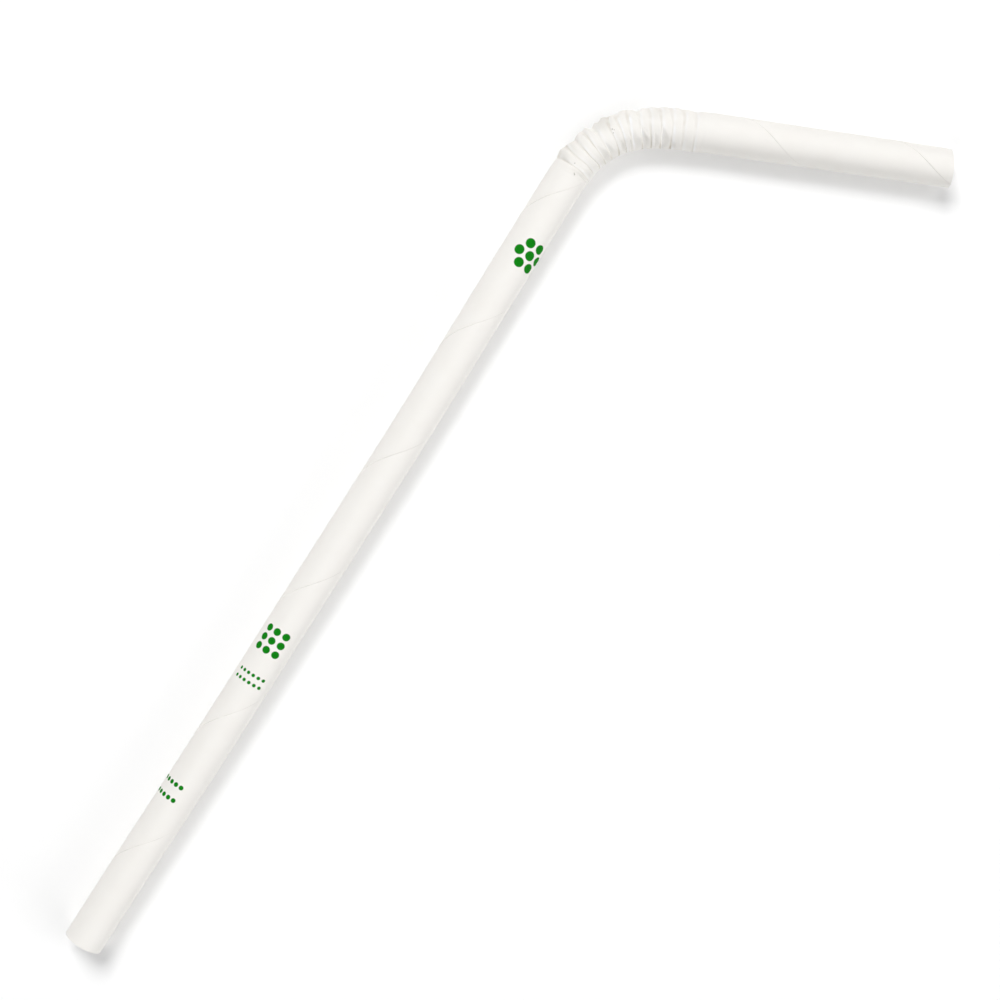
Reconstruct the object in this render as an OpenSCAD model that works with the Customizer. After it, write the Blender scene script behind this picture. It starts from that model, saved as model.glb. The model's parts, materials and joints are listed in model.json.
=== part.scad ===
// Flexible paper drinking straw, lying on its side with the drinking end bent over.
// It is one paper tube: a long straight leg, a stretch of pressed folds that lets it bend, and a
// short straight leg. The long leg runs along +X, the bend turns towards -Y, and Z = 0 is the
// surface that the straw lies on. The origin is under the middle of its outline.

/* [Tube] */
// Outer diameter of the straight tube
tube_od = 6; // [4:0.1:12]
// Thickness of the wound paper wall
wall = 0.4; // [0.2:0.05:0.6]
// Length of the straight leg that stands in the drink
long_leg = 137; // [60:1:220]
// Length of the straight drinking end
short_leg = 37.4; // [15:0.1:80]

/* [Folded bend] */
// Length of the folded stretch, along the middle of the tube
bend_length = 21.9; // [14:0.1:40]
// Angle that the drinking end is bent over, away from the line of the long leg
bend_angle = 66.5; // [0:0.5:80]
// Number of pressed folds in the folded stretch
fold_count = 14; // [8:1:18]
// Depth of the valleys between the folds
fold_depth = 0.5; // [0.2:0.05:0.8]
// How far the folds stand out past the tube on the outer side of the bend
fold_bulge = 0.25; // [0:0.05:0.5]
// Share of the valleys' depth that is drawn out flat on the outer side of the bend
fold_stretch = 0.5; // [0:0.05:0.8]
// How much deeper the valleys are squeezed on the inner side of the bend
fold_pinch = 0.25; // [0:0.05:0.4]

/* [Hidden] */
paper_white = [0.98, 0.98, 0.96];

tube_r = tube_od / 2;
bore_r = tube_r - wall;
fold_pitch = bend_length / fold_count;

// How far a cut runs past the faces that it opens
cut_overrun = 1;
// How far the folded wall reaches into the wall of each straight leg
joint_overlap = 0.6;
// Plain stretch of folded wall between a straight leg and the first valley
joint_lip = 0.1;
// The folded wall is set back from both faces of the straight wall where they meet
joint_inset_share = 0.25;
joint_inset = wall * joint_inset_share;

// Corners on each ring of the folded wall, a multiple of four so that one of them is lowest
fold_sides = 32;
tube_sides = 96;

// One fold as pairs of a place along the fold and a height above its valley. The side towards
// the long leg is short and steep and the other side is long, as in a nesting fold.
fold_profile_shares = [[0.2, 0], [0.5, 1], [0.66, 0.94]];
// How much each fold turns beside its neighbours. Two pairs of them have sprung wide open, and
// the last ones, next to the drinking end, are still almost closed.
fold_turn_shares = [1.35, 1.7, 1.25, 1.15, 1.2, 1.75, 1.8, 1.2, 0.7, 0.6, 0.55, 0.4, 0.25, 0.1];
// How much of the bulge each fold has, and how much of the depth
fold_bulge_shares = [0.7, 0.4, 0.5, 0.8, 0.3, 1, 0.6, 0.1, 0.2, 0.3, 0.5, 0.7, 0.3, 0];
fold_depth_shares = [0.8, 0.9, 0.9, 1.1, 1, 1.1, 1, 1.1, 1, 0.9, 0.8, 0.7, 0.7, 0.6];

// A table's share for one fold. A longer row of folds reads the table round again.
function share_of(shares, fold) = shares[fold % len(shares)];
function sum_to(shares, count) = count <= 0
    ? 0
    : sum_to(shares, count - 1) + share_of(shares, count - 1);
turn_unit = bend_angle / sum_to(fold_turn_shares, fold_count);
function turn_of(fold) = turn_unit * share_of(fold_turn_shares, fold);

// The middle line of the bend is a chain of arcs, one for each fold. A heading is the angle from
// +X towards -Y, and a place is a distance along that line from the end of the long leg.
function heading_before(fold) = turn_unit * sum_to(fold_turn_shares, fold);
function along(heading) = [cos(heading), -sin(heading)];
function outward(heading) = [sin(heading), cos(heading)];
function chord_share(turn) = turn == 0 ? 1 : sin(turn / 2) / (turn / 2 * PI / 180);
function arc_step(length, heading, turn) = length * chord_share(turn) * along(heading + turn / 2);
function fold_start(fold) = fold <= 0
    ? [0, 0]
    : fold_start(fold - 1) + arc_step(fold_pitch, heading_before(fold - 1), turn_of(fold - 1));
function fold_at(place) = min(floor(place / fold_pitch), fold_count - 1);
function share_at(place) = place / fold_pitch - fold_at(place);
function heading_at(place) = place <= 0
    ? 0
    : place >= bend_length
    ? bend_angle
    : heading_before(fold_at(place)) + share_at(place) * turn_of(fold_at(place));
function bend_at(place, fold) = fold_start(fold)
    + arc_step(place - fold * fold_pitch, heading_before(fold), heading_at(place) - heading_before(fold));
function centre_at(place) = place <= 0
    ? [place, 0]
    : place >= bend_length
    ? bend_end + (place - bend_length) * along(bend_angle)
    : bend_at(place, fold_at(place));

bend_end = fold_start(fold_count);
short_end = bend_end + short_leg * along(bend_angle);

// Corners of the whole outline, seen from above
outline_low = [-long_leg, short_end.y - tube_r * outward(bend_angle).y];
outline_high = [short_end.x + tube_r * outward(bend_angle).x, tube_r];
outline_middle = (outline_low + outline_high) / 2;

// Rings of the folded wall, each a place, an outer and an inner radius, a push out on the outer
// side of the bend and a pinch on the inner side
function joint_ring(place) = [place, tube_r - joint_inset, bore_r + joint_inset, 0, 0];
function fold_ring(fold, point, drop) = [
    (fold + point[0]) * fold_pitch,
    tube_r - drop,
    bore_r - drop,
    fold_bulge * point[1] * share_of(fold_bulge_shares, fold) + fold_stretch * drop,
    fold_pinch * (1 - point[1])
];
fold_rings = [
    for (fold = [0:fold_count - 1])
        for (point = fold_profile_shares)
            fold_ring(fold, point, fold_depth * share_of(fold_depth_shares, fold) * (1 - point[1]))
];
rings = concat(
    [joint_ring(-joint_overlap), joint_ring(joint_lip)],
    fold_rings,
    [joint_ring(bend_length - joint_lip), joint_ring(bend_length + joint_overlap)]
);

// One corner of a ring. The push out is greatest at the outer side of the bend, the pinch at the
// inner side, and both are none above and below, so the folds lie on the same surface as the legs.
function side_share(angle) = pow(max(cos(angle), 0), 2);
function pushed_out(ring, angle) = ring[3] * side_share(angle) + ring[4] * side_share(angle + 180);
function ring_corner(ring, radius, angle) = concat(
    centre_at(ring[0])
        + (radius * cos(angle) + pushed_out(ring, angle)) * outward(heading_at(ring[0])),
    radius * sin(angle)
);
// The outer skin of the paper is skin 0 and the inner one is skin 1
function corner(ring, skin, side) = (2 * ring + skin) * fold_sides + side % fold_sides;
// Two triangles between four corners, which go round clockwise seen from outside the paper
function patch(a, b, c, d) = [[a, b, c], [a, c, d]];
function outer_patch(i, k) =
    patch(corner(i, 0, k + 1), corner(i, 0, k), corner(i + 1, 0, k), corner(i + 1, 0, k + 1));
function inner_patch(i, k) =
    patch(corner(i, 1, k), corner(i, 1, k + 1), corner(i + 1, 1, k + 1), corner(i + 1, 1, k));
function first_edge(k) =
    patch(corner(0, 0, k), corner(0, 0, k + 1), corner(0, 1, k + 1), corner(0, 1, k));
function last_edge(i, k) =
    patch(corner(i, 0, k + 1), corner(i, 0, k), corner(i, 1, k), corner(i, 1, k + 1));

module folded_bend() {
    last = len(rings) - 1;
    corners = [
        for (ring = rings)
            for (radius = [ring[1], ring[2]])
                for (side = [0:fold_sides - 1])
                    ring_corner(ring, radius, 360 * side / fold_sides)
    ];
    skins = [
        for (i = [0:last - 1])
            for (k = [0:fold_sides - 1])
                each concat(outer_patch(i, k), inner_patch(i, k))
    ];
    edges = [
        for (k = [0:fold_sides - 1])
            each concat(first_edge(k), last_edge(last, k))
    ];
    polyhedron(points = corners, faces = concat(skins, edges));
}

// A straight leg along +X, open from end to end
module leg(length) {
    rotate([0, 90, 0])
        difference() {
            cylinder(h = length, r = tube_r, $fn = tube_sides);
            translate([0, 0, -cut_overrun])
                cylinder(h = length + 2 * cut_overrun, r = bore_r, $fn = tube_sides);
        }
}

module paper_straw() {
    color(paper_white)
        translate([-outline_middle.x, -outline_middle.y, tube_r])
            union() {
                translate([-long_leg, 0, 0])
                    leg(long_leg);
                folded_bend();
                translate(concat(bend_end, 0))
                    rotate([0, 0, -bend_angle])
                        leg(short_leg);
            }
}

paper_straw();
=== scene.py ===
# %% [markdown]
# A bendy paper straw
# This lesson dresses one paper straw that lies on a white table, seen from straight above. The
# real straw is made in three steps: strips of paper are wound and glued into a tube, a short
# stretch of the tube is pressed into folds, and the drinking end is bent over at the folds. The
# script follows the same three steps, so that the spiral joint of the strips runs through the
# folds and round the bend as it does on the real one.

# %% Load the frame
import json
import math

import bmesh
import bpy
from mathutils import Matrix, Vector, noise


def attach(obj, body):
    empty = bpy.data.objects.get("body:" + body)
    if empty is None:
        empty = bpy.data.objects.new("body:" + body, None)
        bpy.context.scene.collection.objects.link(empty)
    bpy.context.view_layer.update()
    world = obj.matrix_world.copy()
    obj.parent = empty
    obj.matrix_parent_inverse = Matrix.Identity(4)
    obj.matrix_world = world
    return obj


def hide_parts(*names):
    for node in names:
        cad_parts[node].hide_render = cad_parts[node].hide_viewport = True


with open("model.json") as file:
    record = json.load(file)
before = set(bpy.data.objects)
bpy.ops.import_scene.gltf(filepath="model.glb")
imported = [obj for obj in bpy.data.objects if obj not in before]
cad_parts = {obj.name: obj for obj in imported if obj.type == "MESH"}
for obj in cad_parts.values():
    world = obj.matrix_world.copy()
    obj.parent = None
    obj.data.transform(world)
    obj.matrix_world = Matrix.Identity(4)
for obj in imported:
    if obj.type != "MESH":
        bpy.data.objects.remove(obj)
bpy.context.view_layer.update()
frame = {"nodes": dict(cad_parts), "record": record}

MM = 0.001
print("frame nodes:", sorted(frame["nodes"]))

# %% [markdown]
# Sizes from the frame
# The two bores and the outside of the long leg are known sizes of the part. They give the tube's
# radius, its wall, and where each straight leg starts and ends, so nothing here has to be fitted
# by eye. The bend lies between the inner ends of the two bores.

# %% Read the tube's sizes
mounts = {mount["name"]: mount for mount in frame["record"]["mounts"]}


def mount_place(name):
    return Vector(mounts[name]["pos_m"])


def mount_axis(name):
    return Vector(mounts[name]["axis"]).normalized()


def mount_size(name, key):
    return mounts[name]["dims"][key] * MM


tube_r = mount_size("leg_outside", "r_mm")
bore_r = mount_size("long_bore", "r_mm")
wall = tube_r - bore_r
long_leg = mount_size("long_bore", "length_mm")
short_leg = mount_size("drinking_bore", "length_mm")
free_end = mount_place("long_bore")
leg_way = -mount_axis("long_bore")
drink_way = mount_axis("drinking_bore")
bend_start = free_end + long_leg * leg_way
bend_end = mount_place("drinking_bore") - short_leg * drink_way
bend_angle = leg_way.angle(drink_way)
print(f"tube {2 * tube_r / MM:.2f} mm, wall {wall / MM:.2f} mm, bend {math.degrees(bend_angle):.1f} degrees")

# %% [markdown]
# The middle line
# The bend isn't one even arc. Some folds have sprung wide open and the last ones are still almost
# closed, so the middle line is a chain of short arcs, one for each fold, and each fold takes its
# own share of the turn. A place on the straw is its distance from the free end of the long leg,
# measured along that line. A paper straw is never quite straight either: this one bows by about
# half a millimetre along its long leg and again at the bend.

# %% Lay out the middle line
BEND_LENGTH = 21.9 * MM
FOLD_TURN_SHARES = (1.35, 1.7, 1.25, 1.15, 1.2, 1.75, 1.8, 1.2, 0.7, 0.6, 0.55, 0.4, 0.25, 0.1)
# Pairs of a distance from the start of the bend and how far the straw lies to the outer side of an
# ideal one there, both in millimetres
STRAYS = (
    (-137, 0),
    (-94, -0.45),
    (-50, -0.6),
    (-3, -0.22),
    (2.5, -0.42),
    (10, -0.42),
    (14.5, -0.2),
    (20, -0.15),
    (24, 0),
    (59.3, 0.2),
)
fold_count = len(FOLD_TURN_SHARES)
fold_pitch = BEND_LENGTH / fold_count
total_length = long_leg + BEND_LENGTH + short_leg
up = Vector((0, 0, 1))


def way_at(heading):
    """The direction of the middle line after a turn of heading, clockwise from above."""
    return Matrix.Rotation(-heading, 3, "Z") @ leg_way


def arc_end(start, heading, length, turn):
    """Where an arc ends that leaves start in direction heading."""
    chord = length if abs(turn) < 1e-9 else length * math.sin(turn / 2) / (turn / 2)
    return start + chord * way_at(heading + turn / 2)


fold_starts, fold_headings, fold_turns = [], [], []
point, heading = bend_start, 0.0
for share in FOLD_TURN_SHARES:
    turn = bend_angle * share / sum(FOLD_TURN_SHARES)
    fold_starts.append(point)
    fold_headings.append(heading)
    fold_turns.append(turn)
    point = arc_end(point, heading, fold_pitch, turn)
    heading += turn


def stray_at(place):
    """How far the straw lies to the outer side of an ideal one."""
    from_bend = (place - long_leg) / MM
    for (start, before), (end, after) in zip(STRAYS, STRAYS[1:]):
        if from_bend <= end:
            share = min(max((from_bend - start) / (end - start), 0), 1)
            return MM * (before + (after - before) * share * share * (3 - 2 * share))
    return MM * STRAYS[-1][1]


def ideal_middle_at(place):
    """The point of an ideal straw's middle line at a place, and its heading there."""
    if place <= long_leg:
        return free_end + place * leg_way, 0.0
    if place >= long_leg + BEND_LENGTH:
        return bend_end + (place - long_leg - BEND_LENGTH) * drink_way, bend_angle
    fold = min(int((place - long_leg) / fold_pitch), fold_count - 1)
    step = place - long_leg - fold * fold_pitch
    turn = fold_turns[fold] * step / fold_pitch
    return arc_end(fold_starts[fold], fold_headings[fold], step, turn), fold_headings[fold] + turn


def middle_at(place):
    """The point of this straw's middle line at a place, and its heading there."""
    point, heading = ideal_middle_at(place)
    return point + stray_at(place) * up.cross(way_at(heading)), heading


print(f"the chain of arcs misses the drinking end by {(point - bend_end).length / MM:.4f} mm")

# %% [markdown]
# The spiral joint
# The outer strip is wound round the tube like a bandage, and its edges meet in a thin spiral line.
# A groove could be cut along that line afterwards, but it is easier to let the columns of the mesh
# follow it: each ring of points is turned a little further than the one before, so one column of
# faces is the joint itself. The folds take up more paper than their length, so the spiral turns
# faster there.

# %% Place the spiral joint
JOINT_PITCH = 22.8 * MM
JOINT_ON_TOP = 86.6 * MM
FOLDED_PAPER_RATIO = 1.39
JOINT_WAVER = math.radians(2.0)
JOINT_WAVER_LENGTH = 7 * MM
TOP = math.pi / 2


def paper_length(place):
    """How much paper lies between the free end and a place, with the folds pulled flat."""
    folded = min(max(place - long_leg, 0), BEND_LENGTH)
    return place + (FOLDED_PAPER_RATIO - 1) * folded


def joint_angle(place):
    """The angle of the joint round the tube: 0 is the outer side of the bend, and TOP is up."""
    waver = noise.noise(Vector((place / JOINT_WAVER_LENGTH, 0, 0)))
    turns = (paper_length(place) - JOINT_ON_TOP) / JOINT_PITCH
    return TOP + 2 * math.pi * turns + JOINT_WAVER * waver


print(f"the joint makes {(joint_angle(total_length) - joint_angle(0)) / (2 * math.pi):.1f} turns")

# %% [markdown]
# Rings along the straw
# A straight leg needs few rings of points, and the folds need many, close together at each crease.
# The places of the rings are worked out first, and the outside and the inside use the same list.

# %% Choose the places of the rings
COLUMNS = 96
LEG_RING_STEP = 0.8 * MM
FOLD_RING_SHARES = (0.03, 0.07, 0.12, 0.17, 0.21, 0.25, 0.34, 0.45, 0.57, 0.69, 0.81, 0.92, 0.99)


def leg_places(start, length):
    count = round(length / LEG_RING_STEP)
    return [start + length * k / count for k in range(count)]


ring_places = leg_places(0, long_leg - fold_pitch)
for fold in range(-1, fold_count):
    ring_places += [long_leg + (fold + share) * fold_pitch for share in FOLD_RING_SHARES]
ring_places += leg_places(long_leg + BEND_LENGTH, short_leg) + [total_length]
print(len(ring_places), "rings of", COLUMNS, "points")

# %% [markdown]
# Winding the tube
# One ring of points is drawn out along the outside of the straw again and again, which is what
# extruding its edges does, then over the cut edge of the drinking end, back along the inside and
# over the cut edge of the free end. The last ring is welded to the first, so the paper is one closed
# wall. Each point remembers its column, its place and its depth in the wall, from 0 outside to 1
# inside, and the later steps move the points by those three numbers.

# %% Wind the wall
PLIES = 3
RINGS_A_PLY = 2
straw_mesh = bpy.data.meshes.new("wound_paper_straw")
bm = bmesh.new()
column_of = bm.verts.layers.int.new("column")
place_of = bm.verts.layers.float.new("place")
depth_of = bm.verts.layers.float.new("depth")

cut_depths = [k / (PLIES * RINGS_A_PLY) for k in range(1, PLIES * RINGS_A_PLY)]
path = [(place, 0.0) for place in ring_places]
path += [(total_length, depth) for depth in cut_depths]
path += [(place, 1.0) for place in reversed(ring_places)]
path += [(0.0, depth) for depth in reversed(cut_depths)]

first_ring = bmesh.ops.create_circle(bm, cap_ends=False, segments=COLUMNS, radius=tube_r)["verts"]
for column, vert in enumerate(first_ring):
    vert[column_of] = column
edges = list(bm.edges)
for place, depth in path[1:] + path[:1]:
    drawn = bmesh.ops.extrude_edge_only(bm, edges=edges)["geom"]
    ring = [item for item in drawn if isinstance(item, bmesh.types.BMVert)]
    in_ring = set(ring)
    edges = [
        item for item in drawn if isinstance(item, bmesh.types.BMEdge) and in_ring.issuperset(item.verts)
    ]
    for vert in ring:
        vert[place_of] = place
        vert[depth_of] = depth
first_by_column = {vert[column_of]: vert for vert in first_ring}
bmesh.ops.weld_verts(bm, targetmap={vert: first_by_column[vert[column_of]] for vert in ring})
print(len(bm.verts), "points and", len(bm.faces), "faces in the wall")

# %% [markdown]
# The pressed folds
# On the real straw a roller presses narrow channels into the tube, so that it can fold like a
# bellows. The paper doesn't fold evenly when the end is bent over, so each channel has its own place
# on the outer side of the bend, on top and on the inner side. The rings of points between two
# channels are spread out or drawn together to follow them.

# %% Place the channels
CHANNEL_SHARE = 0.12
# Where each channel lies on the outer side, on top and on the inner side, from the start of the bend
# and in millimetres
CHANNEL_PLACES = (
    (0.2, -0.15, -0.4),
    (1.9, 1.35, 1.3),
    (3.25, 2.9, 3.2),
    (4.65, 4.4, 4.6),
    (6.0, 5.8, 6.1),
    (8.5, 7.85, 7.6),
    (9.2, 9.15, 9.4),
    (10.9, 10.55, 10.8),
    (12.2, 12.3, 12.7),
    (13.7, 13.85, 14.1),
    (15.1, 15.45, 15.6),
    (16.8, 17.15, 17.3),
    (18.6, 18.85, 19.0),
    (20.4, 20.55, 20.8),
)
CHANNEL_WANDER = 0.12 * MM
WANDER_FINENESS = 1.4


def blend_round(angle, outer, top, inner):
    """A value that goes from outer by way of top to inner, and back below, round the tube."""
    side = math.cos(angle)
    return top + ((outer if side > 0 else inner) - top) * side * side


def round_the_tube(angle, along):
    """A point for the noise that has no step where the angle comes round again."""
    return Vector((math.cos(angle), math.sin(angle), along))


def fold_and_share(place):
    """The fold that a place lies in, from one channel to the next, and the share of that fold."""
    along = (place - long_leg) / fold_pitch - CHANNEL_SHARE
    fold = math.floor(along)
    return fold, along - fold


def channel_shift(channel, angle):
    """How far a channel lies from its even place."""
    if not 0 <= channel < fold_count:
        return 0.0
    return blend_round(angle, *CHANNEL_PLACES[channel]) * MM - (channel + CHANNEL_SHARE) * fold_pitch


def shifted(place, angle):
    """Where a point lies along the straw once the channels have left their even places."""
    fold, share = fold_and_share(place)
    if not -1 <= fold < fold_count:
        return place
    shift = (1 - share) * channel_shift(fold, angle) + share * channel_shift(fold + 1, angle)
    along = (place - long_leg) / fold_pitch
    inside = min(max(along + 1, 0), max(fold_count - along, 0), 1)
    wander = CHANNEL_WANDER * noise.noise(round_the_tube(angle, along) * WANDER_FINENESS)
    return place + shift + inside * wander


widest = max(abs(channel_shift(k, a)) for k in range(fold_count) for a in (0, TOP, math.pi))
print(f"channels lie up to {widest / MM:.2f} mm from their even places")

# %% [markdown]
# The shape of a fold
# On top a channel is a shallow groove with a flat floor, so it shows as two fine lines. On the inner
# side of the bend the grooves are squeezed shut and become narrow slits. On the outer side they are
# pulled open until only slopes are left, which rise from each channel to a ridge and fall to the
# next: some of these stand out past the tube, and three channels have kept a deep notch.

# %% Shape the folds
GROOVE_WALL_SHARE = 0.04
SIDE_FLOOR_SHARE = 0.02
LEG_RIDGE_SHARE = 0.9
SHOULDER_DEPTH = 0.15
SWELL = 0.04
# Each row of numbers has one for each channel, or for the fold after it. Radii are from the tube's
# own, and they and the depths are in millimetres.
NOTCH_RADII = (0, 0.06, -0.3, 0.02, -0.46, -0.06, -0.08, 0.16, -0.4, -0.04, -0.04, 0, -0.04, -0.16)
RIDGE_RADII = (0.4, 0.14, 0.22, 0.26, 0.34, 0.02, 0.27, 0.2, 0.06, 0.13, 0.18, 0.2, 0.06, 0)
RIDGE_SHARES = (0.65, 0.15, 0.65, 0.45, 0.75, 0.5, 0.75, 0.1, 0.4, 0.35, 0.5, 0.5, 0.4, 0.8)
SHOULDER_SHARES = (0.6, 0.9, 0.6, 0.5, 1.5, 1.4, 0.8, 0.5, 0.6, 0.4, 0.05, 0.05, 0.05, 0)
GROOVE_DEPTHS = (0.05, 0.08, 0.07, 0.065, 0.05, 0.07, 0.08, 0.06, 0.03, 0.07, 0.05, 0.03, 0.045, 0.03)
GROOVE_FLOOR_SHARES = (0.05,) * 6 + (0.09, 0.09, 0.05, 0.09, 0.05, 0.05, 0.09, 0.09)
SLIT_DEPTHS = (0.05, 0, 0.06, 0.1, 0.1, 0.12, 0.02, 0, 0.1, 0.15, 0.06, 0.16, 0, 0.08)
# How much tan and painted shade lies beside each slit, strongest on the inner side of the bend
SLIT_TAN_AND_SHADE_SHARES = (0.1, 0, 0.1, 0.2, 0.2, 0.45, 0.1, 0, 0.25, 0.4, 0.35, 0.5, 0.05, 0.15)
SLIT_FALLOFF = 4
SLIT_TAN_AND_SHADE_REACH_SHARE = 0.13
SLIT_TAN_AND_SHADE_FALLOFF = 2.5
UNEVEN_SIZE = 1.1 * MM
UNEVEN_MIDDLE = 0.8
UNEVEN_SWING = 1.2
UNEVEN_STEP = 3.7
CRUMPLES = ((0.06 * MM, 1.6 * MM), (0.022 * MM, 0.6 * MM))


def table_at(table, k, beyond=0.0):
    return table[k] if 0 <= k < len(table) else beyond


def uneven(channel, angle):
    """A share between about 0.1 and 1.5 by which a channel comes and goes round the tube."""
    point = round_the_tube(angle, UNEVEN_STEP * channel) * (tube_r / UNEVEN_SIZE)
    return UNEVEN_MIDDLE + UNEVEN_SWING * noise.noise(point)


def fold_height(fold, share, angle):
    """From 0 on the floor of a channel to 1 between two channels, and the nearer channel."""
    ridge = table_at(RIDGE_SHARES, fold, LEG_RIDGE_SHARE)
    channel = fold if share < 0.5 else fold + 1
    top_floor = table_at(GROOVE_FLOOR_SHARES, channel)
    floor = blend_round(angle, SIDE_FLOOR_SHARE, top_floor, SIDE_FLOOR_SHARE)
    rising = blend_round(angle, ridge, GROOVE_WALL_SHARE, GROOVE_WALL_SHARE)
    falling = blend_round(angle, 1 - ridge, GROOVE_WALL_SHARE, GROOVE_WALL_SHARE)
    after = max(share - floor, 0) / rising
    before = max(1 - share - floor, 0) / falling
    return min(after, before, 1), fold if after < before else fold + 1


def inner_share(angle, falloff):
    """1 on the inner side of the bend and 0 at the top, lower between them for a larger falloff."""
    return max(-math.cos(angle), 0) ** falloff


def valley_radius(channel, angle):
    """How far the floor of a channel lies outside the tube's own radius."""
    if not 0 <= channel < fold_count:
        return 0.0
    groove = GROOVE_DEPTHS[channel] * uneven(channel, angle)
    shoulder = max(math.sin(2 * angle) * math.copysign(1, math.sin(angle)), 0) ** 2
    shoulder *= SHOULDER_DEPTH * SHOULDER_SHARES[channel]
    slit = SLIT_DEPTHS[channel] * inner_share(angle, SLIT_FALLOFF)
    return blend_round(angle, NOTCH_RADII[channel], -groove, -groove) - shoulder - slit


def crumple(place, angle):
    """Small dents and swellings of paper that has been folded."""
    point = round_the_tube(angle, place / tube_r) * tube_r
    return sum(depth * noise.noise(point / size) for depth, size in CRUMPLES)


print(f"notches are up to {-min(NOTCH_RADII):.2f} mm deep and ridges up to {max(RIDGE_RADII):.2f} mm high")

# %% [markdown]
# Buckled folds
# Where a fold is squeezed too far, the paper between two slits gives way and buckles inwards. It
# leaves a three-cornered dent, with its tip near the top of the tube and its wide end low on the
# inner side of the bend. One face of a dent is long and the other short, so each leans over. One
# fold has also sprung apart on the outer side, which leaves a swelling and a dent there. Some
# patches of the folds get painted shade, and the edges that stand up get a painted highlight.

# %% Shape the buckles
# Each buckle: its fold, 1 above or -1 below, the shares of the fold where it starts, is deepest and
# ends, the angles of its tip and of its widest place, and its depth in millimetres, which is less
# than 0 for a swelling
BUCKLES = (
    (-1, 1, (0.3, 0.55, 1.0), (84, 136), 0.2),
    (0, 1, (0.0, 0.3, 0.8), (100, 136), 0.16),
    (3, 1, (0.0, 0.15, 1.0), (86, 136), 0.42),
    (4, 1, (0.0, 0.1, 0.6), (96, 136), 0.36),
    (4, 1, (0.04, 0.28, 0.5), (72, 0), -0.25),
    (4, 1, (0.36, 0.5, 0.64), (72, 0), 0.36),
    (4, -1, (0.04, 0.28, 0.5), (72, 0), -0.25),
    (4, -1, (0.36, 0.5, 0.64), (72, 0), 0.36),
    (5, 1, (0.3, 0.5, 1.0), (112, 136), 0.24),
    (6, 1, (0.0, 0.8, 1.0), (118, 136), 0.2),
    (7, 1, (0.0, 0.2, 1.0), (82, 136), 0.24),
    (8, 1, (0.0, 0.12, 0.8), (90, 136), 0.5),
    (9, 1, (0.2, 0.45, 0.7), (100, 136), 0.2),
    (10, 1, (0.0, 0.12, 0.85), (92, 136), 0.45),
    (11, 1, (0.0, 0.1, 0.5), (132, 150), 0.2),
    (1, -1, (0.1, 0.6, 1.0), (100, 136), 0.35),
    (4, -1, (0.0, 0.2, 1.0), (96, 136), 0.45),
    (6, -1, (0.1, 0.8, 1.0), (94, 136), 0.5),
    (8, -1, (0.0, 0.4, 0.9), (90, 136), 0.6),
    (10, -1, (0.1, 0.2, 1.0), (104, 136), 0.5),
)
# Each patch of painted shade: its middle and reach along the bend in millimetres, the same round
# the tube in degrees, and how strong it is
PAINTED_SHADE_PATCHES = (
    ((0.7, 0.8), (36, 44), 0.18),
    ((2.3, 0.7), (38, 40), 0.14),
    ((7.6, 1.3), (40, 44), 0.26),
    ((15.2, 1.8), (50, 34), 0.1),
    ((-0.4, 0.9), (118, 36), 0.12),
    ((5.4, 1.6), (150, 34), 0.14),
    ((9.4, 0.6), (140, 36), 0.16),
    ((1.5, 1.2), (-50, 60), 0.15),
    ((9.5, 2.4), (-120, 50), 0.15),
)
# How strongly a painted highlight whitens the edge after each channel
PAINTED_HIGHLIGHT_SHARES = (0.3, 0.4, 0.4, 0.4, 0.3, 0.4, 0.6, 0.8, 0.6, 0.5, 0.5, 0.7, 0.6, 0.5)
PAINTED_HIGHLIGHT_MIDDLE = 0.22
PAINTED_HIGHLIGHT_REACH = 0.18
# The painted highlights come and go by a pattern of their own, numbered past those of the channels
PAINTED_HIGHLIGHT_PATTERN = 20
BUCKLE_END_SHARE = 0.2
# How dark the tan and painted shade along a groove's floor is, for the groove's depth
CREASE_TAN_AND_SHADE_LINE = 2.0
# The shares of the fold before the bend and of the last fold in which the folding fades out
FIRST_FADE = 0.4
LAST_FADE = 0.3


def buckle_depth(fold, share, angle):
    """How far the buckles dent the paper at a point."""
    turned = math.remainder(angle, 2 * math.pi)
    depth = 0.0
    for at_fold, half, (start, deepest, end), (tip, widest), most in BUCKLES:
        if at_fold == fold:
            side = half * math.degrees(turned)
            opened = (side - tip) / (widest - tip)
            if widest > tip:
                opened = min(opened, 1 - (1 - BUCKLE_END_SHARE) * (side - widest) / (180 - widest))
            elif side < 0:
                opened = 0
            reach = deepest - start if share < deepest else end - deepest
            depth += most * MM * max(opened - abs(share - deepest) / reach, 0)
    return depth


def painted_shade_at(place, angle):
    """How grey the painted shade makes the paper at a point of the bend."""
    along = (place - long_leg) / MM
    turned = math.degrees(math.remainder(angle, 2 * math.pi))
    shade_amount = 0.0
    for (middle, reach), (turn, turn_reach), share in PAINTED_SHADE_PATCHES:
        off = ((along - middle) / reach) ** 2 + ((turned - turn) / turn_reach) ** 2
        shade_amount += share * max(1 - off, 0)
    return min(shade_amount, 1)


def painted_highlight_at(place, angle):
    """How much a painted highlight whitens the paper at a point, along the upstanding edges of the folds."""
    fold, share = fold_and_share(place)
    beside = max(1 - abs(share - PAINTED_HIGHLIGHT_MIDDLE) / PAINTED_HIGHLIGHT_REACH, 0)
    return min(beside * table_at(PAINTED_HIGHLIGHT_SHARES, fold) * max(uneven(fold + PAINTED_HIGHLIGHT_PATTERN, angle), 0), 1)


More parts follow.
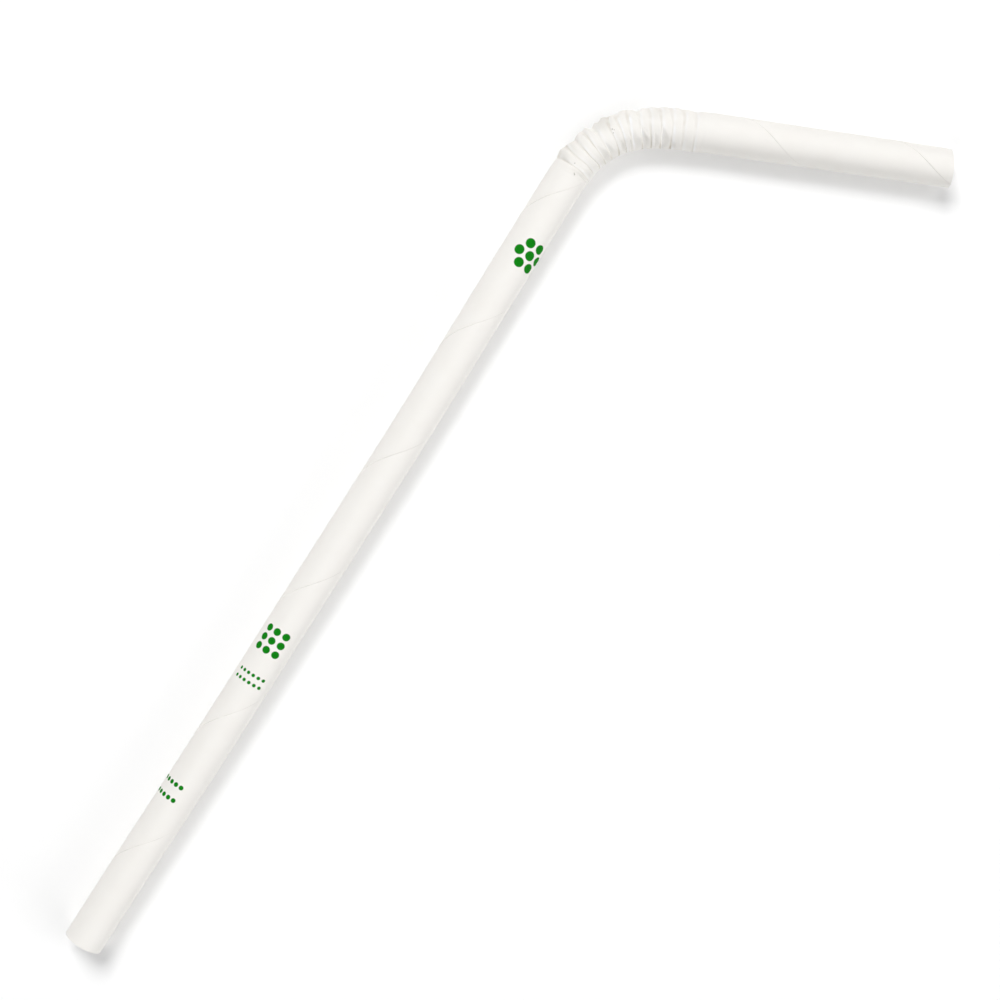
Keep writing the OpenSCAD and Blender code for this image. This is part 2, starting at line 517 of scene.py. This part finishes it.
def folded_radius(place, angle):
    """The outer radius of the folded tube at a point, and how much tan and painted shade its creases get
    there.
    """
    along = (place - long_leg) / fold_pitch
    if along <= -1 or along >= fold_count:
        return tube_r, 0.0
    fold, share = fold_and_share(place)
    height, channel = fold_height(fold, share, angle)
    swell = math.sin(math.pi * share) if fold >= 0 else 0
    valley = valley_radius(channel, angle)
    crest = blend_round(angle, table_at(RIDGE_RADII, fold), SWELL * swell, SWELL * swell)
    pushed = (valley + (crest - valley) * height) * MM
    pushed += crumple(place, angle) - buckle_depth(fold, share, angle)
    ends = min((along + 1) / FIRST_FADE, (fold_count - along) / LAST_FADE, 1)
    # Tan with painted shade: darkest beside the deep slits on the inner side of the bend, and along each
    # groove's floor by its depth.
    near = max(1 - min(share, 1 - share) / SLIT_TAN_AND_SHADE_REACH_SHARE, 0)
    slit_tan_and_shade = near * table_at(SLIT_TAN_AND_SHADE_SHARES, channel) * inner_share(angle, SLIT_TAN_AND_SHADE_FALLOFF)
    lined = (1 - height) * CREASE_TAN_AND_SHADE_LINE * table_at(GROOVE_DEPTHS, channel) * uneven(channel, angle)
    return tube_r + ends * pushed, min(max(slit_tan_and_shade, lined), 1)


print(len(BUCKLES), "buckles and", len(PAINTED_SHADE_PATCHES), "painted_shade_patches")

# %% [markdown]
# The lap of the joint
# The strip's edge lies over the edge of the turn before it, so there is a step of about the
# thickness of thin paper along the joint: the paper rises a little towards one side of it and dips
# towards the other. The columns crowd together near the joint so that the step is sharp. In the
# folds the roller has pressed the step almost flat. The drinking end has been pinched a little, so
# it is slightly narrower than it is high, and its cut is a little slanted. On both cut edges the
# glue between the plies shows as two fine sunken lines.

# %% Shape the joint and move every point
JOINT_RISE = 0.04 * MM
JOINT_DIP = 0.03 * MM
JOINT_REACH_SHARE = 0.12
PRESSED_LAP_SHARE = 0.3
# How much of the joint's line is seen in the folds, and how far beside them it is pressed too
PRESSED_LINE_SHARE = 0.2
PRESSED_BESIDE = 9 * MM
# How much is seen on top of the drinking end, how that falls to the outer side, and the least
DRINKING_LINE_SHARE = 0.75
DRINKING_LINE_FALL = 1.6
DRINKING_LINE_LEAST = 0.1
COLUMN_CROWDING = 0.6
OVAL_SHARE = 0.045
CUT_SLANT = 0.38 * MM
CUT_SLANT_LENGTH = 6 * MM
GLUE_LINE_DEPTH = 0.03 * MM
glue_depths = [ply / PLIES for ply in range(1, PLIES)]
crease_tan_and_shade_of = bm.verts.layers.float.new("crease")
pressed_of = bm.verts.layers.float.new("pressed")
painted_shade_of = bm.verts.layers.float.new("bruise")
painted_highlight_of = bm.verts.layers.float.new("scuff")
joint_shows_of = bm.verts.layers.float.new("joint_shows")


def joint_shows(place, angle):
    """How much of the joint's line is seen. It is pressed shut in and beside the folds."""
    if place < long_leg + BEND_LENGTH:
        beside = min(max((long_leg - place) / PRESSED_BESIDE, 0), 1)
        return PRESSED_LINE_SHARE + (1 - PRESSED_LINE_SHARE) * beside
    shown = DRINKING_LINE_SHARE - DRINKING_LINE_FALL * math.cos(angle)
    return min(max(shown, DRINKING_LINE_LEAST), 1)


def lap(share):
    """How far the outer ply stands up beside the joint, by its share of the way round."""
    before = max((share - 1) / JOINT_REACH_SHARE + 1, 0)
    after = max(1 - share / JOINT_REACH_SHARE, 0)
    return JOINT_RISE * before**2 - JOINT_DIP * after**2


for vert in bm.verts:
    share = vert[column_of] / COLUMNS
    place = vert[place_of]
    angle = joint_angle(place)
    angle += 2 * math.pi * share - COLUMN_CROWDING * math.sin(2 * math.pi * share)
    radius, vert[crease_tan_and_shade_of] = folded_radius(place, angle)
    pressed = long_leg < place < long_leg + BEND_LENGTH
    depth = vert[depth_of]
    radius += (1 - depth) * lap(share) * (PRESSED_LAP_SHARE if pressed else 1) - depth * wall
    from_end = max(1 - (total_length - place) / CUT_SLANT_LENGTH, 0)
    moved = shifted(place, angle) - CUT_SLANT * from_end * math.cos(angle)
    if any(math.isclose(depth, glue_depth, abs_tol=0.01) for glue_depth in glue_depths):
        moved += GLUE_LINE_DEPTH if place < long_leg else -GLUE_LINE_DEPTH
    centre, heading = middle_at(moved)
    outward = up.cross(way_at(heading))
    oval = 1 - OVAL_SHARE * max(place - long_leg - BEND_LENGTH, 0) / short_leg
    vert.co = centre + radius * (oval * math.cos(angle) * outward + math.sin(angle) * up)
    vert.co.z = max(vert.co.z, 0)
    vert[pressed_of] = pressed
    # Painted shade and a painted highlight for the paper's colour, kept on each point.
    vert[painted_shade_of] = painted_shade_at(place, angle)
    vert[painted_highlight_of] = painted_highlight_at(place, angle)
    vert[joint_shows_of] = joint_shows(place, angle)
print(f"the straw reaches {max(vert.co.z for vert in bm.verts) / MM:.2f} mm above the table")

# %% [markdown]
# Finishing the mesh
# The paper is smooth, so all faces are shaded smooth, and only real edges, such as the rim of the
# cut ends, are marked sharp. A UV map unrolls the tube: across is the way round from the joint and
# back to it, and along is the place.

# %% Unroll and finish
SHARP_ANGLE = math.radians(42)
bmesh.ops.recalc_face_normals(bm, faces=bm.faces)
wrap_uv = bm.loops.layers.uv.new("wrap")
for face in bm.faces:
    face.smooth = True
    columns = [loop.vert[column_of] for loop in face.loops]
    over_joint = max(columns) - min(columns) > COLUMNS / 2
    for loop, column in zip(face.loops, columns):
        turned = COLUMNS if over_joint and column < COLUMNS / 2 else 0
        loop[wrap_uv].uv = ((column + turned) / COLUMNS, loop.vert[place_of] / total_length)
for edge in bm.edges:
    edge.smooth = edge.calc_face_angle(0) < SHARP_ANGLE
bm.to_mesh(straw_mesh)
bm.free()
straw = bpy.data.objects.new("wound_paper_straw", straw_mesh)
bpy.context.scene.collection.objects.link(straw)
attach(straw, "root")
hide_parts("paper_straw")
straw_mesh.calc_loop_triangles()
print(len(straw_mesh.loop_triangles), "triangles in the straw")

# %% [markdown]
# Colours and nodes
# Every colour is written as it looks on a screen, and one function turns it to the linear values
# that a shader works in. One small function adds a node, sets it and links it, and three more use
# it for what comes up often, so that each material below reads as a list of what it is made of.

# %% Helpers for materials


def linear(code):
    """A colour written as sRGB hex, in the linear values that shaders use."""
    parts = [int(code[k : k + 2], 16) / 255 for k in (1, 3, 5)]
    return tuple(v / 12.92 if v <= 0.04045 else ((v + 0.055) / 1.055) ** 2.4 for v in parts) + (1,)


def pick(sockets, key):
    """The socket with that number, or the one in use with that name."""
    if isinstance(key, int):
        return sockets[key]
    return next(socket for socket in sockets if socket.name == key and socket.enabled)


def add(tree, kind, inputs=None, **settings):
    """Adds a node. A pair of a node and an output links that input, and other values set it."""
    made = tree.nodes.new(kind)
    for name, value in settings.items():
        setattr(made, name, value)
    for key, value in (inputs or {}).items():
        if isinstance(value, tuple) and isinstance(value[0], bpy.types.Node):
            tree.links.new(pick(value[0].outputs, value[1]), pick(made.inputs, key))
        else:
            pick(made.inputs, key).default_value = value
    return made


def mix(tree, factor, first, second):
    """A node that goes from the first colour to the second as the factor goes from 0 to 1."""
    return add(tree, "ShaderNodeMix", {"Factor": factor, "A": first, "B": second}, data_type="RGBA")


def combine(tree, operation, first, second):
    """A node that works out one number from two."""
    return add(tree, "ShaderNodeMath", {0: first, 1: second}, operation=operation)


def combine_vectors(tree, operation, first, second):
    """A node that works out a vector or a distance from two vectors."""
    return add(tree, "ShaderNodeVectorMath", {0: first, 1: second}, operation=operation)


def new_material(name):
    """A material with no nodes but its output, its node tree and that output."""
    material = bpy.data.materials.new(name)
    material.use_nodes = True
    tree = material.node_tree
    tree.nodes.clear()
    return material, tree, tree.nodes.new("ShaderNodeOutputMaterial")


print("mid grey on a screen is", round(linear("#808080")[0], 3), "to a shader")

# %% [markdown]
# White straw paper
# The outer strip is bleached kraft paper, calendered smooth: a soft white with a faint cloudiness
# where the fibres lie thicker. Painted shade turns some facets of the folds grey, a painted highlight
# whitens the edge after each channel, and where it is creased its sizing cracks and the fold turns
# slightly tan, with painted shade that is darkest in the grooves and slits. The points of the mesh
# carry how much of each there is.

# %% Mix the colour of the paper
PAPER_WHITE = "#F9F7F3"
CLOUDY_WHITE = "#F6F3EE"
# The next three colours are a painted highlight, the tan of cracked sizing mixed with painted shade, and
# painted shade.
PAINTED_HIGHLIGHT_WHITE = "#FFFFFF"
CREASE_TAN_AND_SHADE = "#A08A62"
PAINTED_SHADE_GREY = "#BDBAAE"
CLOUD_SIZE = 3.5 * MM

paper, tree, paper_output = new_material("bleached_kraft_paper")
where = add(tree, "ShaderNodeTexCoord")
cloud = add(
    tree,
    "ShaderNodeTexNoise",
    {"Vector": (where, "Object"), "Scale": 1 / CLOUD_SIZE, "Detail": 3.0, "Roughness": 0.55},
)
cloudy = mix(tree, (cloud, "Fac"), linear(PAPER_WHITE), linear(CLOUDY_WHITE))
# Painted shade: the next two nodes turn the paper grey on some facets of the folds.
bruise = add(tree, "ShaderNodeAttribute", attribute_name="bruise")
shade_painted = mix(tree, (bruise, "Fac"), (cloudy, "Result"), linear(PAINTED_SHADE_GREY))
# Painted highlight: the next two nodes whiten the edge after each channel.
scuff = add(tree, "ShaderNodeAttribute", attribute_name="scuff")
highlight_painted = mix(tree, (scuff, "Fac"), (shade_painted, "Result"), linear(PAINTED_HIGHLIGHT_WHITE))
# Crease tan with painted shade: the next two nodes darken the grooves and slits.
crease = add(tree, "ShaderNodeAttribute", attribute_name="crease")
creased_and_shaded = mix(tree, (crease, "Fac"), (highlight_painted, "Result"), linear(CREASE_TAN_AND_SHADE))
print(paper.name, "has", len(tree.nodes), "nodes so far")

# %% [markdown]
# Specks
# A few dark fibres and specks of grit are caught in the paper beside the folds. Each is a tiny ball
# in space: where the paper passes through it, the paper is dark.

# %% Add the specks
SPECK_BROWN = "#7A7468"
# Each speck: its distance along the bend and its radius in millimetres, and its angle round the tube
SPECKS = (
    (-1.0, 0.16, 106),
    (-0.85, 0.13, 103),
    (0.45, 0.13, 88),
    (8.1, 0.15, 80),
    (8.3, 0.12, 84),
    (8.0, 0.11, 91),
    (19.2, 0.1, -70),
)
SPECK_STRENGTH = 0.55
SPECK_CORE_SHARE = 0.3


def point_at(along, angle):
    """A point on the outside of the tube, from its distance along the bend and its angle."""
    centre, heading = middle_at(long_leg + along)
    return centre + tube_r * (math.cos(angle) * up.cross(way_at(heading)) + math.sin(angle) * up)


specked = creased_and_shaded
for along, radius, angle in SPECKS:
    middle = point_at(along * MM, math.radians(angle))
    distance = combine_vectors(tree, "DISTANCE", (where, "Object"), middle)
    dark = add(
        tree,
        "ShaderNodeMapRange",
        {
            "Value": (distance, "Value"),
            "From Min": radius * MM,
            "From Max": SPECK_CORE_SHARE * radius * MM,
            "To Max": SPECK_STRENGTH,
        },
        interpolation_type="SMOOTHSTEP",
    )
    specked = mix(tree, (dark, "Result"), (specked, "Result"), linear(SPECK_BROWN))
print(len(SPECKS), "specks")

# %% [markdown]
# The line of the joint
# Along the joint the cut edge of the strip shows as a thin grey line, darker where the strips lie a
# little apart and almost gone where they meet well or are pressed together. The line is drawn on
# the unrolled paper, close after the joint, and slow noise along the straw makes it come and go.

# %% Draw the joint's line
JOINT_GREY = "#B4B2AC"
JOINT_LINE_WIDTH = 0.2 * MM
JOINT_BREAK_SIZE = 2.6 * MM
# The noise from its first value to its second takes the line from its faintest to its strongest
BREAK_START, BREAK_END = 0.35, 0.65
FAINTEST_LINE, STRONGEST_LINE = 0.15, 0.9
turn_length = 2 * math.pi * tube_r

unrolled = add(tree, "ShaderNodeUVMap", uv_map="wrap")
across = add(tree, "ShaderNodeSeparateXYZ", {"Vector": (unrolled, "UV")})
joint_line = add(
    tree,
    "ShaderNodeMapRange",
    {
        "Value": (across, "X"),
        "From Min": JOINT_LINE_WIDTH / turn_length,
        "From Max": 0.0,
        "To Max": 1.0,
    },
    interpolation_type="SMOOTHSTEP",
)
breaks = add(
    tree,
    "ShaderNodeTexNoise",
    {"Vector": (where, "Object"), "Scale": 1 / JOINT_BREAK_SIZE, "Detail": 2.0},
)
joint_strength = add(
    tree,
    "ShaderNodeMapRange",
    {
        "Value": (breaks, "Fac"),
        "From Min": BREAK_START,
        "From Max": BREAK_END,
        "To Min": FAINTEST_LINE,
        "To Max": STRONGEST_LINE,
    },
)
shows = add(tree, "ShaderNodeAttribute", attribute_name="joint_shows")
joint_shown = combine(tree, "MULTIPLY", (joint_line, "Result"), (joint_strength, "Result"))
joint_mask = combine(tree, "MULTIPLY", (joint_shown, "Value"), (shows, "Fac"))
jointed = mix(tree, (joint_mask, "Value"), (specked, "Result"), linear(JOINT_GREY))
print(paper.name, "has", len(tree.nodes), "nodes with the joint's line")

# %% [markdown]
# Green print
# The long leg carries plain dots in green ink, set in blocks and printed on the strip before it is
# wound. The print is worked out flat: one number is the way along the leg and the other the way
# round it, both in millimetres. Rounding both to the nearest dot of a block gives the distance to
# that dot's middle, and the ink is where that distance is small.

# %% Print the dots
INK_GREEN = "#058F0A"
INK_DARK = "#036B08"
INK_EDGE = 0.06
INK_BLOT_SIZE = 0.5 * MM
# Each block of dots: middle along the leg and round from the top, rows and columns, their spacing
# along and round, and the radius of a dot, in millimetres
DOT_BLOCKS = (
    ((122.3, -2.0), (1, 3), (1.9, 1.9), 0.75),
    ((122.3, -2.0), (2, 2), (3.3, 1.9), 0.75),
    ((53.6, 0.0), (3, 3), (1.55, 1.55), 0.58),
    ((47.2, 0.0), (2, 6), (1.25, 0.85), 0.27),
    ((26.9, 2.1), (2, 6), (2.2, 0.95), 0.36),
)

from_free_end = combine_vectors(tree, "SUBTRACT", (where, "Object"), free_end)
leg_point = add(tree, "ShaderNodeSeparateXYZ", {"Vector": (from_free_end, "Vector")})
angle_from_top = combine(tree, "ARCTAN2", (leg_point, "Y"), (leg_point, "Z"))
way_round = combine(tree, "MULTIPLY", (angle_from_top, "Value"), tube_r / MM)
way_along = combine(tree, "DIVIDE", (leg_point, "X"), MM)
flat_print = add(
    tree, "ShaderNodeCombineXYZ", {"X": (way_along, "Value"), "Y": (way_round, "Value")}
)


def print_block(middle, counts, spacing, radius):
    """The nodes of one block of dots. Returns the one that is 1 on a dot and 0 elsewhere."""
    last = [count - 1 for count in counts]
    first = [m - gap * k / 2 for m, gap, k in zip(middle, spacing, last)]
    steps = (*spacing, 1)
    from_first = combine_vectors(tree, "SUBTRACT", (flat_print, "Vector"), (*first, 0))
    counted = combine_vectors(tree, "DIVIDE", (from_first, "Vector"), steps)
    half_up = combine_vectors(tree, "ADD", (counted, "Vector"), (0.5, 0.5, 0))
    rounded = add(tree, "ShaderNodeVectorMath", {0: (half_up, "Vector")}, operation="FLOOR")
    not_before = combine_vectors(tree, "MAXIMUM", (rounded, "Vector"), (0, 0, 0))
    nearest = combine_vectors(tree, "MINIMUM", (not_before, "Vector"), (*last, 0))
    nearest_place = combine_vectors(tree, "MULTIPLY", (nearest, "Vector"), steps)
    distance = combine_vectors(tree, "DISTANCE", (from_first, "Vector"), (nearest_place, "Vector"))
    return add(
        tree,
        "ShaderNodeMapRange",
        {"Value": (distance, "Value"), "From Min": radius + INK_EDGE, "From Max": radius - INK_EDGE},
        interpolation_type="SMOOTHSTEP",
    )


ink = print_block(*DOT_BLOCKS[0])
for block in DOT_BLOCKS[1:]:
    ink = combine(tree, "MAXIMUM", (ink, 0), (print_block(*block), "Result"))
blots = add(
    tree,
    "ShaderNodeTexNoise",
    {"Vector": (where, "Object"), "Scale": 1 / INK_BLOT_SIZE, "Detail": 2.0},
)
ink_colour = mix(tree, (blots, "Fac"), linear(INK_GREEN), linear(INK_DARK))
printed = mix(tree, (ink, 0), (jointed, "Result"), (ink_colour, "Result"))
print(len(DOT_BLOCKS), "blocks of dots")

# %% [markdown]
# The surface of the paper
# Paper scatters light from a mat of fibres, so its surface is rough and only faintly glossy. A bump
# of fine noise stands for the fibres that show as a tooth when light grazes the paper. In the folds
# the roller has left fine streaks round the tube, so drawn-out noise on the unrolled paper is added
# there.

# %% Finish the paper
TOOTH_SIZE = 0.12 * MM
TOOTH_DEPTH = 0.004 * MM
STREAK_SIZE = 0.3 * MM
STREAK_DEPTH = 0.03 * MM
STREAKS_ROUND = 5

pressed_paper = add(tree, "ShaderNodeAttribute", attribute_name="pressed")
streak_scale = (STREAKS_ROUND, total_length / STREAK_SIZE, 1)
streak_place = combine_vectors(tree, "MULTIPLY", (unrolled, "UV"), streak_scale)
streaks = add(tree, "ShaderNodeTexNoise", {"Vector": (streak_place, "Vector"), "Detail": 2.0})
streaky = add(
    tree,
    "ShaderNodeBump",
    {"Height": (streaks, "Fac"), "Distance": STREAK_DEPTH, "Strength": (pressed_paper, "Fac")},
)
tooth = add(
    tree,
    "ShaderNodeTexNoise",
    {"Vector": (where, "Object"), "Scale": 1 / TOOTH_SIZE, "Detail": 3.0},
)
toothed = add(
    tree,
    "ShaderNodeBump",
    {"Height": (tooth, "Fac"), "Distance": TOOTH_DEPTH, "Normal": (streaky, "Normal")},
)
shader = add(
    tree,
    "ShaderNodeBsdfPrincipled",
    {
        "Base Color": (printed, "Result"),
        "Roughness": 0.68,
        "Specular IOR Level": 0.1,
        "Normal": (toothed, "Normal"),
    },
)
tree.links.new(shader.outputs["BSDF"], paper_output.inputs["Surface"])
straw_mesh.materials.append(paper)
print(paper.name, "has", len(tree.nodes), "nodes")

# %% [markdown]
# The table
# The straw lies on a plain white table. To a camera a white table under soft light comes out a
# little grey, so rays that come straight from the camera, or by way of a gloss or a glass, see it
# slightly brighter. The straw itself gets no light from that, and its shadow stays.

# %% Lay the table
TABLE_SIZE = 1.6
TABLE_WHITE = "#FDFDFD"
TABLE_LIFT = 0.06
TABLE_DROP = 0.01 * MM


def seen_directly(tree):
    """1 for rays from the camera, a gloss or a glass, and 0 for the rays that light things."""
    ray = add(tree, "ShaderNodeLightPath")
    seen = (ray, "Is Camera Ray")
    for other in ("Is Glossy Ray", "Is Transmission Ray"):
        seen = (combine(tree, "MAXIMUM", seen, (ray, other)), "Value")
    return seen


table_mesh = bpy.data.meshes.new("table")
bm = bmesh.new()
bmesh.ops.create_grid(
    bm, x_segments=1, y_segments=1, size=TABLE_SIZE / 2, matrix=Matrix.Translation(-TABLE_DROP * up)
)
bm.to_mesh(table_mesh)
bm.free()
table = bpy.data.objects.new("table", table_mesh)
bpy.context.scene.collection.objects.link(table)
board, tree, board_output = new_material("matt_white_board")
lift = combine(tree, "MULTIPLY", seen_directly(tree), TABLE_LIFT)
shader = add(
    tree,
    "ShaderNodeBsdfPrincipled",
    {
        "Base Color": linear(TABLE_WHITE),
        "Roughness": 0.9,
        "Specular IOR Level": 0.1,
        "Emission Color": linear("#FFFFFF"),
        "Emission Strength": (lift, "Value"),
    },
)
tree.links.new(shader.outputs["BSDF"], board_output.inputs["Surface"])
table_mesh.materials.append(board)
print("the table is", TABLE_SIZE, "m wide")

# %% [markdown]
# Light
# The light is that of a white studio. A broad lamp high up beyond the bend draws the soft shadow, and
# four weaker and wider lamps round about keep the shaded sides of the tube from going grey. The
# world is white where it is seen, straight or in a gloss, and lights nothing.

# %% Set the light
SKY_COLOUR = "#FBFCFF"
# Each lamp: its watts, its width and distance in metres, and the way it stands in and its height,
# both in degrees
LAMPS = {
    "broad_lamp": (14.2, 0.68, 1.4, 49, 51),
    "right_fill": (6.2, 0.8, 1.4, -85, 20),
    "front_fill": (4.2, 0.8, 1.4, -60, 40),
    "back_fill": (6.0, 0.8, 1.4, 180, 40),
    "high_fill": (1.4, 0.8, 1.4, -15, 69),
}

world = bpy.data.worlds.new("white_studio")
world.use_nodes = True
tree = world.node_tree
tree.nodes.clear()
sky_inputs = {"Color": linear(SKY_COLOUR), "Strength": seen_directly(tree)}
sky = add(tree, "ShaderNodeBackground", sky_inputs)
world_output = tree.nodes.new("ShaderNodeOutputWorld")
tree.links.new(sky.outputs["Background"], world_output.inputs["Surface"])
bpy.context.scene.world = world

for name, (watts, width, distance, way, height) in LAMPS.items():
    data = bpy.data.lights.new(name, "AREA")
    data.energy = watts
    data.size = width
    lamp = bpy.data.objects.new(name, data)
    towards = Matrix.Rotation(math.radians(way), 3, "Z") @ Matrix.Rotation(math.radians(-height), 3, "Y")
    lamp.location = towards @ Vector((distance, 0, 0))
    lamp.rotation_euler = lamp.location.to_track_quat("Z", "Y").to_euler()
    bpy.context.scene.collection.objects.link(lamp)
    print(name, "stands at", [round(v, 2) for v in lamp.location])

# %% [markdown]
# The camera
# The camera looks straight down, turned so that the long leg runs up to the right. Its lens is
# worked out from the width of table that it sees and its height.

# %% Place the camera
VIEW_WIDTH = 149.9 * MM
VIEW_MIDDLE = Vector((4.4, 5.6, 0)) * MM
VIEW_TURN = math.radians(-57.77)
CAMERA_ABOVE_MIDDLE = 260 * MM
SENSOR_WIDTH = 36.0
NEAREST_SEEN = 10 * MM

camera_data = bpy.data.cameras.new("camera")
camera_data.sensor_width = SENSOR_WIDTH
camera_data.lens = SENSOR_WIDTH * CAMERA_ABOVE_MIDDLE / VIEW_WIDTH
camera_data.clip_start = NEAREST_SEEN
camera = bpy.data.objects.new("camera", camera_data)
camera.location = VIEW_MIDDLE + (CAMERA_ABOVE_MIDDLE + tube_r) * up
camera.rotation_euler = (0, 0, VIEW_TURN)
bpy.context.scene.collection.objects.link(camera)
bpy.context.scene.camera = camera
bpy.context.scene.view_settings.view_transform = "Standard"
print(f"lens {camera_data.lens:.1f} mm")
